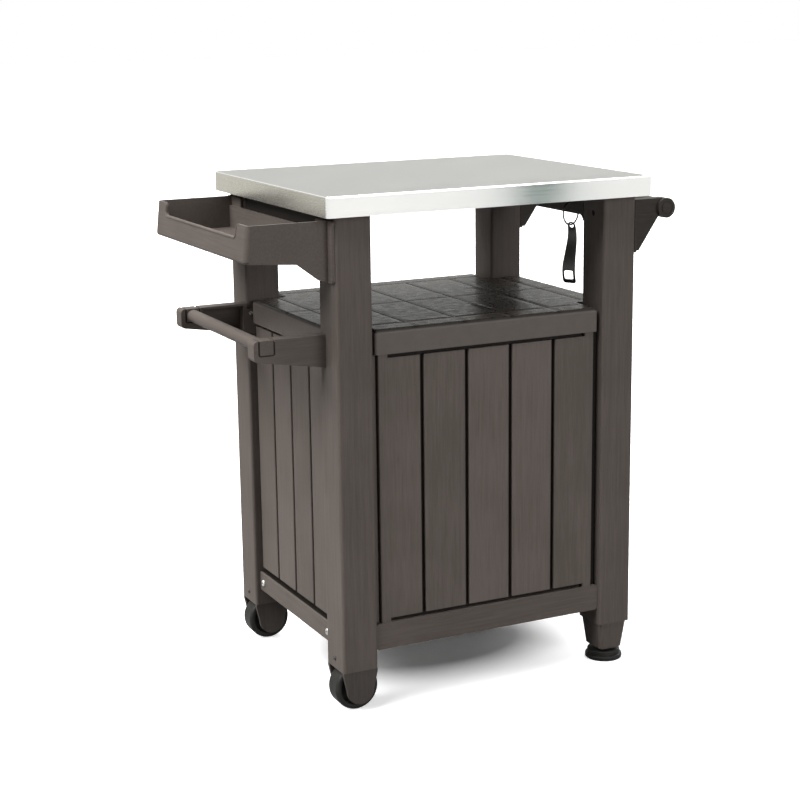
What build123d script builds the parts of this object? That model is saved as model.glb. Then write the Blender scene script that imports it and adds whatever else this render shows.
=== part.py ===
from build123d import *
import os
from math import atan2, cos, hypot, radians, sin

os.makedirs("parts", exist_ok=True)

# Sizes in millimetres. X runs along the long side, from the tray to the handle, Y from the
# plank panel to the doors, Z up from the floor.

# Worktop pan of folded steel sheet
top_height = 900
top_length = 625
top_depth = 514
skirt_height = 35
sheet = 1.2
top_corner = 7
top_edge = 2.5

# Resin mouldings in general
wall = 4
rib = 3
fit = 0.3

# Deck under the pan
deck_depth = 29
deck_thickness = 5
deck_rib_depth = 16
deck_x_count = 6
deck_y_count = 4
collar = 4

# Posts: rectangular tubes
post_width = 66
post_depth = 70
post_span_x = 516
post_span_y = 404
post_corner = 5
post_end = 76

# Side beams under the deck
apron_drop = 38
apron_inset = 1
apron_set_back = 4
apron_corner = 10
apron_lip = 1.5
apron_rib_y = 60

# Counter: moulded shelf with rounded edge and a grid of tiles
counter_drop = 230
counter_thickness = 43
counter_deck = 8
counter_edge = 8
counter_corner = 5
counter_set_back_x = 8
counter_set_back_y = 6
counter_gap = 6
tile_width = 94
tile_depth = 188
tile_border = 14
tile_groove = 3
tile_groove_depth = 2
tile_x_count = 6
tile_y_count = 3
counter_rib_depth = 14
counter_rib_pitch = 94
counter_ribs = 3

# Plank panels and doors
rail_low = 106
rail_height = 47
side_rail_height = 37
rail_depth = 26
rail_set_back_y = 6
rail_set_back_x = 10
rail_corner = 5
rail_ribs = 3
panel_set_back_y = 9
panel_set_back_x = 14
plank_thickness = 8
plank_groove = 7
plank_edge = 2
panel_back = 6
panel_lift = 8
panel_gap = 7
panel_end_gap = 9
panel_tab = 22
side_end_gap = 2
front_planks = 5
side_planks = 4
door_planks = 3
floor_thickness = 12
floor_edge = 14
floor_x_count = 3
floor_y_count = 2

# Doors on round pins
door_thickness = 14
door_gap = 3
door_meeting_gap = 1.5
hinge_radius = 4
hinge_running = 0.08
hinge_depth = 8
hinge_boss = 8.5
hinge_inset = 8
pull_width = 18
pull_height = 90
pull_drop = 60
pull_corner = 12
stop_width = 60
stop_thickness = 8
stop_overlap = 14

# Tray on the left posts
flange = 5
flange_width = 66
tray_drop = 8
tray_height = 62
tray_depth = 147
tray_length = 438
tray_wall = 4.5
tray_corner = 8
tray_lean = 7
tray_bottom_edge = 5
tray_lip = 38
tray_back = 45
tray_ear = 45
tray_scoop = 9
tray_hang = 40
tray_skirt = 6.5
tray_gusset_reach = 55
tray_gusset_foot = 17

# Towel holder on the left posts
arm_drop = 7
arm_reach = 129
arm_tip_height = 35
arm_root_height = 56
arm_corner = 8
arm_hook = 3
arm_depth = 24
hook_length = 21
hook_height = 45
bar_radius = 11.3
bar_stand_off = 106
bar_block = 28
bar_slot_play = 0.9
bar_slot_depth = 27
bar_block_corner = 4

# Handle on the right posts
handle_stand_off = 80
handle_drop = 29.5
handle_radius = 16
handle_wall = 2.5
handle_boss = 18
handle_boss_depth = 30
handle_socket = 22
handle_web = 18
handle_web_foot = 25
handle_web_turn = 45
handle_hang = 73.5
boss_ring_radius = 12.5
boss_ring_width = 3
boss_ring_depth = 1.2

# Screws that hold the brackets to the posts
screw_drop = 31
screw_radius = 2.2
screw_head_radius = 4.2
screw_head = 3
screw_bite = 3
screw_play = 0.1
access_radius = 5
arm_screw_inset = 6
arm_screw_drop = 18
arm_screw_radius = 1.8
arm_screw_head_radius = 3.6
arm_screw_head = 2
bolt_inset = 17
bolt_radius = 3
bolt_head_radius = 6.5
bolt_head = 3.5
bolt_crown = 2.8
bolt_length = 14
lug_length = 30
lug_thickness = 12
lug_height = 26
lug_peg = 18
plug_screw_height = 94
plug_screw_radius = 2
plug_screw_head_radius = 3.8
plug_screw_head = 2.2

# Wheels in forks at the ends of the left posts
wheel_radius = 40
wheel_width = 38
wheel_shoulder = 6
wheel_rim = 9
wheel_web = 10
hub_radius = 13
fork_inset = 1
cheek = 7
cheek_tip_radius = 25
bridge = 5
wheel_play = 4
hub_play = 0.5
axle_radius = 5
axle_running = 0.08
axle_seat = 4
plug_height = 50
plug_wall = 3.5

# Tapered ends and screw feet of the right posts
leg_end_step = 3
leg_end_low = 22
leg_end_width = 46
leg_end_depth = 54
leg_end_corner = 5
leg_end_chamfer = 3
foot_radius = 34
foot_height = 9
foot_tier_radius = 30
foot_tier = 9
foot_edge = 2.5
foot_neck_radius = 15
stud_radius = 6
stud_length = 38
stud_running = 0.08

# Bottle opener on a wire ring
ring_y = -122
ring_turn = 20
ring_radius = 21.5
ring_wire = 1.5
ring_rise = 24
ring_hole = 5
ring_hang = 0.6
opener_length = 112
opener_turn = 36
opener_neck = 7.5
opener_width = 25
opener_loop = 36
opener_thickness = 2.4
opener_bow = 7
opener_bend = 0.4
opener_hole_radius = 4
opener_hole_inset = 7
mouth_width = 17
mouth_height = 16
mouth_inset = 8
opener_corner = 5
mouth_corner = 3

# Places worked out from the sizes
post_x = post_span_x / 2
post_y = post_span_y / 2
post_in_x = post_x - post_width / 2
post_out_x = post_x + post_width / 2
post_in_y = post_y - post_depth / 2
post_out_y = post_y + post_depth / 2
deck_top = top_height - sheet
deck_low = deck_top - deck_depth
post_top = deck_top - deck_thickness
skirt_low = top_height - skirt_height
apron_low = skirt_low - apron_drop
counter_height = top_height - counter_drop
counter_low = counter_height - counter_thickness
counter_under = counter_height - counter_deck
counter_front_x = post_in_x - counter_gap
counter_front_y = post_out_y - counter_set_back_y
counter_side_x = post_out_x - counter_set_back_x
counter_side_y = post_in_y - counter_gap
rail_top = rail_low + rail_height
side_rail_top = rail_low + side_rail_height
rail_y = post_out_y - rail_set_back_y
rail_x = post_out_x - rail_set_back_x
panel_y = post_out_y - panel_set_back_y
panel_x = post_out_x - panel_set_back_x
arm_top = counter_height - arm_drop
screw_height = skirt_low - screw_drop
handle_height = skirt_low - handle_drop
handle_foot = handle_height - handle_hang
handle_x = post_out_x + handle_stand_off
tray_reach = post_out_x + flange + tray_depth
handle_reach = handle_x + handle_boss

# The overall box, tray to handle, is centred on the origin, so the body stands off it
body_x = (tray_reach - handle_reach) / 2
plan = Plane((body_x, 0, 0))
front = Plane((body_x, 0, 0), x_dir=(1, 0, 0), z_dir=(0, -1, 0))
side = Plane((body_x, 0, 0), x_dir=(0, 1, 0), z_dir=(1, 0, 0))

# Steel pan with rounded corners and a folded edge
with BuildPart() as steel_top:
    with BuildSketch(plan.offset(skirt_low)):
        RectangleRounded(top_length, top_depth, top_corner)
    extrude(amount=skirt_height)
    fillet(steel_top.faces().sort_by(Axis.Z)[-1].edges(), top_edge)
    offset(amount=-sheet, openings=steel_top.faces().sort_by(Axis.Z)[0])
steel_top.part.label = "steel_top"
export_step(steel_top.part, "parts/steel_top.step")

# Ribbed deck that fills the pan, with a collar round each post's head
deck_length = top_length - 2 * (sheet + fit)
deck_width = top_depth - 2 * (sheet + fit)
with BuildPart() as top_deck:
    with BuildSketch(plan.offset(deck_low)):
        RectangleRounded(deck_length, deck_width, top_corner)
    extrude(amount=deck_depth)
    chamfer(top_deck.faces().sort_by(Axis.Z)[-1].edges(), top_edge)
    with BuildSketch(plan.offset(deck_low)):
        RectangleRounded(deck_length - 2 * wall, deck_width - 2 * wall, top_corner)
    extrude(amount=deck_depth - deck_thickness, mode=Mode.SUBTRACT)
    with BuildSketch(plan.offset(post_top)):
        with GridLocations(deck_length / deck_x_count, 0, deck_x_count - 1, 1):
            Rectangle(rib, deck_width - wall)
        with GridLocations(0, deck_width / deck_y_count, 1, deck_y_count - 1):
            Rectangle(deck_length - wall, rib)
    extrude(amount=-deck_rib_depth)
    with BuildSketch(plan.offset(post_top)):
        with GridLocations(post_span_x, post_span_y, 2, 2):
            Rectangle(post_width + 2 * (fit + collar), post_depth + 2 * (fit + collar))
    extrude(amount=deck_low - post_top)
    with BuildSketch(plan.offset(post_top)):
        with GridLocations(post_span_x, post_span_y, 2, 2):
            RectangleRounded(post_width + 2 * fit, post_depth + 2 * fit, post_corner)
    extrude(amount=deck_low - post_top, mode=Mode.SUBTRACT)
top_deck.part.label = "top_deck"
export_step(top_deck.part, "parts/top_deck.step")

# Side beams: channels open below, with a round corner at each post
apron_half = post_in_y - fit
apron_inner = post_in_x + apron_inset
apron_outer = post_out_x - apron_set_back
apron_foot = apron_low - apron_corner
ring_height = apron_low + ring_rise
for name, sx in (("left_apron", -1), ("right_apron", 1)):
    with BuildPart() as apron:
        with BuildSketch(side.offset(sx * apron_inner)):
            with Locations((0, (apron_foot + deck_low) / 2)):
                Rectangle(2 * apron_half, deck_low - apron_foot)
            with Locations((0, apron_low - 2 * apron_corner)):
                RectangleRounded(
                    2 * (apron_half - apron_lip), 4 * apron_corner, apron_corner, mode=Mode.SUBTRACT
                )
        extrude(amount=sx * (apron_outer - apron_inner))
        with BuildSketch(plan.offset(apron_foot)):
            with Locations((sx * (apron_inner + apron_outer) / 2, 0)):
                Rectangle(apron_outer - apron_inner - 2 * wall, 2 * (apron_half - wall))
        extrude(amount=deck_low - wall - apron_foot, mode=Mode.SUBTRACT)
        with BuildSketch(plan.offset(apron_low + apron_corner)):
            with Locations((sx * (apron_inner + apron_outer) / 2, 0)):
                with GridLocations(0, 2 * apron_rib_y, 1, 2):
                    Rectangle(apron_outer - apron_inner - wall, rib)
        extrude(amount=deck_low - wall - apron_low - apron_corner)
        with BuildSketch(side.offset(sx * apron_inner)):
            with Locations((ring_y, ring_height)):
                Circle(ring_hole)
        extrude(amount=sx * wall, mode=Mode.SUBTRACT)
    apron.part.label = name
    export_step(apron.part, f"parts/{name}.step")

# Posts: tubes with a screw hole near the head, a slot for the corner block's peg and a hole for
# the plug's screw at the foot
post_places = (
    ("front_left_post", -1, -1),
    ("front_right_post", 1, -1),
    ("back_left_post", -1, 1),
    ("back_right_post", 1, 1),
)
lug_x = rail_x - wall - fit - lug_thickness / 2
lug_z = rail_low + side_rail_height / 2
arm_screw_x = post_out_x - arm_screw_inset
arm_screw_z = arm_top - arm_screw_drop
for name, sx, sy in post_places:
    with BuildPart() as post:
        with BuildSketch(plan.offset(post_end)):
            with Locations((sx * post_x, sy * post_y)):
                RectangleRounded(post_width, post_depth, post_corner)
                Rectangle(post_width - 2 * wall, post_depth - 2 * wall, mode=Mode.SUBTRACT)
        extrude(amount=post_top - post_end)
        with BuildSketch(front.offset(-sy * post_in_y)):
            with Locations((sx * lug_x, lug_z)):
                Rectangle(lug_thickness / 2 + 2 * fit, lug_peg + 2 * fit)
        extrude(amount=-sy * wall, mode=Mode.SUBTRACT)
        with BuildSketch(side.offset(sx * post_out_x)):
            with Locations((sy * post_y, plug_screw_height)):
                Circle(plug_screw_radius + screw_play)
        extrude(amount=-sx * wall, mode=Mode.SUBTRACT)
        with BuildSketch(side.offset(sx * post_in_x)):
            with Locations((sy * post_y, screw_height)):
                Circle(access_radius)
        extrude(amount=sx * wall, mode=Mode.SUBTRACT)
        with BuildSketch(side.offset(sx * post_out_x)):
            with Locations((sy * post_y, screw_height)):
                Circle(screw_radius + screw_play)
        extrude(amount=-sx * wall, mode=Mode.SUBTRACT)
        if sx < 0:
            with BuildSketch(front.offset(-sy * post_in_y)):
                with Locations((sx * arm_screw_x, arm_screw_z)):
                    Circle(arm_screw_radius + screw_play)
            extrude(amount=-sy * 2 * wall, mode=Mode.SUBTRACT)
    post.part.label = name
    export_step(post.part, f"parts/{name}.step")

# Corner blocks: one at the foot of each post, pegged into its wall, to take a bolt of the short rail
with BuildPart() as rail_lugs:
    for place, sx, sy in post_places:
        with BuildSketch(front.offset(-sy * post_in_y)):
            with Locations((sx * lug_x, lug_z)):
                Rectangle(lug_thickness, lug_height)
        extrude(amount=sy * lug_length)
        with BuildSketch(front.offset(-sy * post_in_y)):
            with Locations((sx * lug_x, lug_z)):
                Rectangle(lug_thickness / 2, lug_peg)
        extrude(amount=-sy * wall)
        with BuildSketch(side.offset(sx * (lug_x + lug_thickness / 2))):
            with Locations((sy * (post_in_y - bolt_inset), lug_z)):
                Circle(bolt_radius + screw_play)
        extrude(amount=-sx * (bolt_length - wall), mode=Mode.SUBTRACT)
rail_lugs.part.label = "rail_lugs"
export_step(rail_lugs.part, "parts/rail_lugs.step")

# Counter: a cross-shaped tray turned over, notched round the posts, with a tiled face
hinge_x = post_in_x - panel_end_gap - hinge_inset
hinge_y = panel_y - door_thickness / 2
with BuildPart() as counter:
    with BuildSketch(plan.offset(counter_low)) as counter_outline:
        Rectangle(2 * counter_front_x, 2 * counter_front_y)
        Rectangle(2 * counter_side_x, 2 * counter_side_y)
        fillet(counter_outline.vertices(), counter_corner)
    extrude(amount=counter_thickness)
    fillet(counter.faces().sort_by(Axis.Z)[-1].edges(), counter_edge)
    with BuildSketch(plan.offset(counter_low)):
        Rectangle(2 * (counter_front_x - wall), 2 * (counter_front_y - wall))
        Rectangle(2 * (counter_side_x - wall), 2 * (counter_side_y - wall))
    extrude(amount=counter_thickness - counter_deck, mode=Mode.SUBTRACT)
    with BuildSketch(plan.offset(counter_under)):
        with GridLocations(counter_rib_pitch, 0, counter_ribs, 1):
            Rectangle(rib, 2 * counter_front_y - wall)
        with GridLocations(0, counter_rib_pitch, 1, counter_ribs):
            Rectangle(2 * counter_side_x - wall, rib)
    extrude(amount=-counter_rib_depth)
    with BuildSketch(plan.offset(counter_low)):
        with Locations((-hinge_x, hinge_y), (hinge_x, hinge_y)):
            Circle(hinge_boss)
    extrude(amount=counter_thickness - counter_deck)
    with BuildSketch(plan.offset(counter_low)):
        with Locations((-hinge_x, hinge_y), (hinge_x, hinge_y)):
            Circle(hinge_radius + hinge_running)
    extrude(amount=hinge_depth + fit, mode=Mode.SUBTRACT)
    with BuildSketch(plan.offset(counter_height)):
        with GridLocations(tile_width, 0, tile_x_count, 1):
            Rectangle(tile_groove, (tile_y_count - 1) * tile_depth)
        with GridLocations(0, tile_depth, 1, tile_y_count):
            Rectangle(2 * counter_side_x, tile_groove)
        with BuildSketch(mode=Mode.INTERSECT):
            Rectangle(2 * (counter_front_x - tile_border), 2 * (counter_front_y - tile_border))
            Rectangle(2 * (counter_side_x - tile_border), 2 * (counter_side_y - tile_border))
    extrude(amount=-tile_groove_depth, mode=Mode.SUBTRACT)
counter.part.label = "counter"
export_step(counter.part, "parts/counter.step")

# Long panel: planks on a thin back, with a shadow gap above and below between the end tabs
panel_low = rail_top
panel_high = counter_low
panel_width = 2 * (post_in_x - panel_end_gap)
plank_pitch = panel_width / front_planks
with BuildPart() as front_panel:
    with BuildSketch(front.offset(panel_y)):
        with Locations((0, (panel_low + panel_high) / 2)):
            with GridLocations(plank_pitch, 0, front_planks, 1):
                Rectangle(plank_pitch - plank_groove, panel_high - panel_low)
        with Locations((0, panel_low), (0, panel_high)):
            Rectangle(panel_width - 2 * panel_tab, 2 * panel_gap, mode=Mode.SUBTRACT)
    extrude(amount=-plank_thickness)
    fillet(front_panel.edges().filter_by(Axis.Z).group_by(Axis.Y)[0], plank_edge)
    with BuildSketch(front.offset(panel_y - plank_thickness)):
        with Locations((0, (panel_low + panel_high) / 2)):
            Rectangle(2 * (post_in_x - fit), panel_high - panel_low)
        with Locations((0, panel_high)):
            Rectangle(2 * (counter_front_x - wall - fit), 2 * panel_lift)
    extrude(amount=-panel_back)
front_panel.part.label = "front_panel"
export_step(front_panel.part, "parts/front_panel.step")

# Short panels, the same make, between the posts of each side; their backs stand on the lower short rails
side_width = 2 * (post_in_y - side_end_gap)
side_pitch = side_width / side_planks
for name, sx in (("left_panel", -1), ("right_panel", 1)):
    with BuildPart() as side_panel:
        with BuildSketch(side.offset(sx * panel_x)):
            with Locations((0, (panel_low + panel_high - panel_gap) / 2)):
                with GridLocations(side_pitch, 0, side_planks, 1):
                    Rectangle(side_pitch - plank_groove, panel_high - panel_low - panel_gap)
        extrude(amount=-sx * plank_thickness)
        outer_edges = side_panel.edges().filter_by(Axis.Z).group_by(Axis.X)[0 if sx < 0 else -1]
        fillet(outer_edges, plank_edge)
        with BuildSketch(side.offset(sx * (panel_x - plank_thickness))):
            with Locations((0, (side_rail_top + panel_high) / 2)):
                Rectangle(2 * (post_in_y - fit), panel_high - side_rail_top)
            with Locations((0, panel_high)):
                Rectangle(2 * (counter_side_y - wall - fit), 2 * panel_lift)
        extrude(amount=-sx * panel_back)
    side_panel.part.label = name
    export_step(side_panel.part, f"parts/{name}.step")

# Bottom rails of the long sides: channels open inwards; the back one carries the doors' pins
rail_half = post_in_x - fit
for name, sy in (("front_rail", -1), ("back_rail", 1)):
    with BuildPart() as long_rail:
        with BuildSketch(front.offset(-sy * rail_y)):
            with Locations((0, rail_low + rail_height / 2)):
                RectangleRounded(2 * rail_half, rail_height, rail_corner)
        extrude(amount=sy * rail_depth)
        with BuildSketch(front.offset(-sy * (rail_y - wall))):
            with Locations((0, rail_low + rail_height / 2)):
                Rectangle(2 * (rail_half - wall), rail_height - 2 * wall)
                with GridLocations(rail_half / 2, 0, rail_ribs, 1):
                    Rectangle(rib, rail_height, mode=Mode.SUBTRACT)
        extrude(amount=sy * (rail_depth - wall), mode=Mode.SUBTRACT)
        if sy > 0:
            with BuildSketch(plan.offset(rail_top)):
                with Locations((-hinge_x, hinge_y), (hinge_x, hinge_y)):
                    Circle(hinge_boss)
            extrude(amount=-(hinge_depth + wall))
            with BuildSketch(plan.offset(rail_top)):
                with Locations((-hinge_x, hinge_y), (hinge_x, hinge_y)):
                    Circle(hinge_radius + hinge_running)
            extrude(amount=-(hinge_depth + fit), mode=Mode.SUBTRACT)
    long_rail.part.label = name
    export_step(long_rail.part, f"parts/{name}.step")

# Bottom rails of the short sides: channels open inwards, bolted to the corner blocks
for name, sx in (("left_rail", -1), ("right_rail", 1)):
    with BuildPart() as short_rail:
        with BuildSketch(side.offset(sx * rail_x)):
            with Locations((0, rail_low + side_rail_height / 2)):
                Rectangle(2 * (post_in_y - fit), side_rail_height)
        extrude(amount=-sx * rail_depth)
        rail_edges = short_rail.faces().sort_by(Axis.X)[0 if sx < 0 else -1].edges().filter_by(Axis.Y)
        fillet(rail_edges, plank_edge)
        with BuildSketch(side.offset(sx * (rail_x - wall))):
            with Locations((0, rail_low + side_rail_height / 2)):
                Rectangle(2 * post_in_y, side_rail_height - 2 * wall)
                Rectangle(rib, side_rail_height, mode=Mode.SUBTRACT)
        extrude(amount=-sx * (rail_depth - wall), mode=Mode.SUBTRACT)
        with BuildSketch(side.offset(sx * rail_x)):
            with Locations((bolt_inset - post_in_y, lug_z), (post_in_y - bolt_inset, lug_z)):
                Circle(bolt_radius + screw_play)
        extrude(amount=-sx * wall, mode=Mode.SUBTRACT)
    short_rail.part.label = name
    export_step(short_rail.part, f"parts/{name}.step")

# Round-headed bolts of the short rails
with BuildPart() as rail_bolts:
    for sx in (-1, 1):
        with BuildSketch(side.offset(sx * rail_x)):
            with Locations((bolt_inset - post_in_y, lug_z), (post_in_y - bolt_inset, lug_z)):
                Circle(bolt_head_radius)
        extrude(amount=sx * bolt_head)
        crowns = rail_bolts.edges().filter_by(GeomType.CIRCLE).group_by(Axis.X)[0 if sx < 0 else -1]
        fillet(crowns, bolt_crown)
        with BuildSketch(side.offset(sx * rail_x)):
            with Locations((bolt_inset - post_in_y, lug_z), (post_in_y - bolt_inset, lug_z)):
                Circle(bolt_radius)
        extrude(amount=-sx * (bolt_length - fit))
rail_bolts.part.label = "rail_bolts"
export_step(rail_bolts.part, "parts/rail_bolts.step")

# Cabinet floor: a ribbed plate on the rails, notched round the posts
floor_front = panel_y - plank_thickness - panel_back - fit
door_sweep = hypot(hinge_inset, door_thickness / 2)
floor_back = hinge_y - door_sweep - fit
floor_x = panel_x - plank_thickness - panel_back - fit
floor_cell_x = 2 * (post_in_x - floor_edge) / floor_x_count
floor_cell_y = 2 * (post_in_y - floor_edge) / floor_y_count
with BuildPart() as floor_panel:
    with BuildSketch(plan.offset(rail_top)):
        with Locations((0, (floor_back - floor_front) / 2)):
            Rectangle(2 * (post_in_x - fit), floor_back + floor_front)
        Rectangle(2 * floor_x, 2 * (post_in_y - fit))
    extrude(amount=floor_thickness)
    with BuildSketch(plan.offset(rail_top)):
        with GridLocations(floor_cell_x, floor_cell_y, floor_x_count, floor_y_count):
            Rectangle(floor_cell_x - rib, floor_cell_y - rib)
    extrude(amount=floor_thickness - wall, mode=Mode.SUBTRACT)
floor_panel.part.label = "floor_panel"
export_step(floor_panel.part, "parts/floor_panel.step")

# Doors: planks on a thick back, a finger notch at the meeting edge, and a pin above and below
door_width = post_in_x - panel_end_gap - door_meeting_gap / 2
door_low = rail_top + door_gap
door_high = counter_low - door_gap
door_height = door_high - door_low
door_inner = panel_y - door_thickness
door_pitch = door_width / door_planks
for name, sx in (("left_door", -1), ("right_door", 1)):
    door_x = sx * (door_meeting_gap + door_width) / 2
    with BuildPart() as door:
        with BuildSketch(front.offset(-door_inner)):
            with Locations((door_x, door_low + door_height / 2)):
                Rectangle(door_width, door_height)
        extrude(amount=plank_thickness - door_thickness)
        with BuildSketch(front.offset(plank_thickness - panel_y)):
            with Locations((door_x, door_low + door_height / 2)):
                with GridLocations(door_pitch, 0, door_planks, 1):
                    Rectangle(door_pitch - plank_groove, door_height)
        extrude(amount=-plank_thickness)
        fillet(door.edges().filter_by(Axis.Z).group_by(Axis.Y)[-1], plank_edge)
        with BuildSketch(front.offset(-panel_y)):
            with Locations((0, door_high - pull_drop - pull_height / 2)):
                RectangleRounded(2 * pull_width, pull_height, pull_corner)
        extrude(amount=door_thickness, mode=Mode.SUBTRACT)
        with BuildSketch(plan.offset(door_low)):
            with Locations((sx * hinge_x, hinge_y)):
                Circle(hinge_radius)
        extrude(amount=-(door_gap + hinge_depth))
        with BuildSketch(plan.offset(door_high)):
            with Locations((sx * hinge_x, hinge_y)):
                Circle(hinge_radius)
        extrude(amount=door_gap + hinge_depth)
    door.part.label = name
    export_step(door.part, f"parts/{name}.step")

# Stop behind the doors' upper meeting corners, hung from the counter astride its middle rib
stop_face = door_inner - fit
stop_low = door_high - stop_overlap
with BuildPart() as door_stop:
    with BuildSketch(front.offset(-stop_face)):
        with Locations((0, (stop_low + counter_under) / 2)):
            RectangleRounded(stop_width, counter_under - stop_low, plank_edge)
        with Locations((0, counter_under)):
            Rectangle(rib + 2 * fit, 2 * (counter_rib_depth + fit), mode=Mode.SUBTRACT)
    extrude(amount=stop_thickness)
door_stop.part.label = "door_stop"
export_step(door_stop.part, "parts/door_stop.step")

# Tray: a shell with a scooped lip, gussets under its ends and flanges on the posts
tray_root = post_out_x + flange
tray_top = skirt_low - tray_drop
tray_low = tray_top - tray_height
tray_turn = atan2(tray_lean, tray_height)
tray_toe = tray_bottom_edge * ((1 + sin(tray_turn)) / cos(tray_turn) - 1)
with BuildPart() as spice_tray:
    with BuildSketch(front):
        with BuildLine():
            Polyline(
                (-tray_root, tray_low),
                (-tray_reach - tray_toe, tray_low),
                (tray_lean - tray_reach - tray_toe, tray_top),
                (-tray_root, tray_top),
                close=True,
            )
        make_face()
    extrude(amount=tray_length / 2, both=True)
    fillet(spice_tray.faces().sort_by(Axis.X)[0].edges().filter_by(Axis.Y, reverse=True), tray_corner)
    fillet(spice_tray.faces().sort_by(Axis.Z)[0].edges(), tray_bottom_edge)
    offset(amount=-tray_wall, openings=spice_tray.faces().sort_by(Axis.Z)[-1])
    with BuildSketch(side.offset(-tray_reach)):
        with Locations((0, tray_top)):
            RectangleRounded(tray_length - 2 * tray_ear, 2 * (tray_height - tray_lip), tray_scoop)
    extrude(amount=2 * (tray_wall + tray_lean), mode=Mode.SUBTRACT)
    ear_corners = spice_tray.edges().filter_by(Axis.X).filter_by(lambda e: e.length < 2 * tray_wall)
    fillet(ear_corners.group_by(Axis.Z)[-1], tray_scoop)
    with BuildSketch(side.offset(-tray_root)):
        with Locations((0, tray_top)):
            Rectangle(tray_length - 2 * tray_wall, 2 * (tray_height - tray_back))
    extrude(amount=-2 * tray_wall, mode=Mode.SUBTRACT)
    for sy in (-1, 1):
        with BuildSketch(front.offset(-sy * tray_length / 2)):
            with BuildLine():
                Polyline(
                    (-tray_root, tray_low + tray_bottom_edge),
                    (tray_corner - tray_reach, tray_low + tray_bottom_edge),
                    (tray_corner - tray_reach, tray_low),
                    (-tray_root - tray_gusset_reach, tray_low - tray_skirt),
                    (-tray_root - tray_gusset_foot, tray_low - tray_hang + tray_bottom_edge),
                    (-tray_root, tray_low - tray_hang),
                    close=True,
                )
            make_face()
        extrude(amount=sy * tray_wall)
        with BuildSketch(side.offset(-post_out_x)):
            with Locations((sy * post_y, (tray_top + tray_low - tray_hang) / 2)):
                RectangleRounded(flange_width, tray_height + tray_hang, tray_bottom_edge)
        extrude(amount=-flange)
        with BuildSketch(side.offset(-post_out_x)):
            with Locations((sy * post_y, screw_height)):
                Circle(screw_radius + screw_play)
        extrude(amount=-screw_bite, mode=Mode.SUBTRACT)
spice_tray.part.label = "spice_tray"
export_step(spice_tray.part, "parts/spice_tray.step")

# Towel arms: hollow brackets with a slot for the bar's end and a hook behind the post
arm_inner_y = post_in_y - arm_hook
arm_outer_y = post_in_y + arm_depth
arm_thickness = arm_outer_y - arm_inner_y
arm_tip = post_out_x + arm_reach
bar_x = post_out_x + bar_stand_off
slot_half = bar_block / 2 + bar_slot_play
arm_slope = (arm_root_height - arm_tip_height) / arm_reach
pocket_root = post_out_x + 2 * wall
pocket_tip = bar_x - slot_half - wall
pocket_root_low = arm_top - arm_root_height + arm_slope * (pocket_root - post_out_x) + wall
pocket_tip_low = arm_top - arm_root_height + arm_slope * (pocket_tip - post_out_x) + wall
for name, sy in (("front_towel_arm", -1), ("back_towel_arm", 1)):
    with BuildPart() as towel_arm:
        with BuildSketch(front.offset(-sy * arm_outer_y)) as arm_profile:
            with BuildLine():
                Polyline(
                    (-post_out_x, arm_top),
                    (-arm_tip, arm_top),
                    (-arm_tip, arm_top - arm_tip_height),
                    (-post_out_x, arm_top - arm_root_height),
                    close=True,
                )
            make_face()
            fillet(arm_profile.vertices().group_by(Axis.X)[0], arm_corner)
        extrude(amount=sy * arm_thickness)
        with BuildSketch(front.offset(-sy * arm_inner_y)):
            with BuildLine():
                Polyline(
                    (-pocket_root, arm_top - wall),
                    (-pocket_tip, arm_top - wall),
                    (-pocket_tip, pocket_tip_low),
                    (-pocket_root, pocket_root_low),
                    close=True,
                )
            make_face()
        extrude(amount=-sy * (arm_thickness - wall), mode=Mode.SUBTRACT)
        with BuildSketch(front.offset(-sy * arm_outer_y)):
            with Locations((-bar_x, arm_top)):
                RectangleRounded(2 * slot_half, 2 * bar_slot_depth, bar_block_corner)
        extrude(amount=sy * arm_thickness, mode=Mode.SUBTRACT)
        with BuildSketch(front.offset(-sy * arm_inner_y)):
            with Locations((hook_length / 2 - post_out_x, arm_top - arm_root_height + hook_height / 2)):
                Rectangle(hook_length, hook_height)
            with Locations((-arm_screw_x, arm_screw_z)):
                Circle(arm_screw_radius + screw_play, mode=Mode.SUBTRACT)
        extrude(amount=-sy * (arm_hook - fit))
    towel_arm.part.label = name
    export_step(towel_arm.part, f"parts/{name}.step")

# Screws through the hooks into the posts
with BuildPart() as arm_screws:
    for sy in (-1, 1):
        with BuildSketch(front.offset(-sy * arm_inner_y)):
            with Locations((-arm_screw_x, arm_screw_z)):
                Circle(arm_screw_head_radius)
        extrude(amount=sy * arm_screw_head)
        with BuildSketch(front.offset(-sy * arm_inner_y)):
            with Locations((-arm_screw_x, arm_screw_z)):
                Circle(arm_screw_radius)
        extrude(amount=-sy * (arm_hook + wall))
arm_screws.part.label = "arm_screws"
export_step(arm_screws.part, "parts/arm_screws.step")

# Towel bar: a round bar between square end blocks that drop into the arms' slots
block_height = bar_slot_depth - 2 * fit
bar_z = arm_top - bar_slot_depth + fit + block_height / 2
with BuildPart() as towel_bar:
    with BuildSketch(front.offset(arm_inner_y)):
        with Locations((-bar_x, bar_z)):
            Circle(bar_radius)
    extrude(amount=-2 * arm_inner_y)
    for sy in (-1, 1):
        with BuildSketch(front.offset(-sy * arm_outer_y)):
            with Locations((-bar_x, bar_z)):
                RectangleRounded(bar_block, block_height, bar_block_corner)
        extrude(amount=sy * arm_thickness)
towel_bar.part.label = "towel_bar"
export_step(towel_bar.part, "parts/towel_bar.step")

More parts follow.
